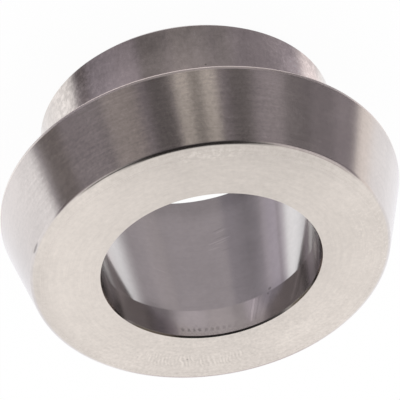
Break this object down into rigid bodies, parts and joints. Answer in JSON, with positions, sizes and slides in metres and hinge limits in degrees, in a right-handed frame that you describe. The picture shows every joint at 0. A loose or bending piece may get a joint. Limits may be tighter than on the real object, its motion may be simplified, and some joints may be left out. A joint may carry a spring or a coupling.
{
  "type": "dairy coupling weld end",
  "caption": "Turned stainless liner of a dairy screw coupling: flat sealing face with through bore, conical collar with a nut shoulder, and a short tube for butt welding.",
  "frame": {"origin": "centre of the weld-end face, which the part stands on", "axes": "+Z along the bore axis, from the weld end towards the sealing face"},
  "size_m": [0.0364, 0.0364, 0.0177],
  "materials": {
    "stainless_steel": "satin turned sealing face, polished cone, tube and bore"
  },
  "bodies": {
    "root": {"weld_liner": "stainless_steel"}
  },
  "joints": []
}
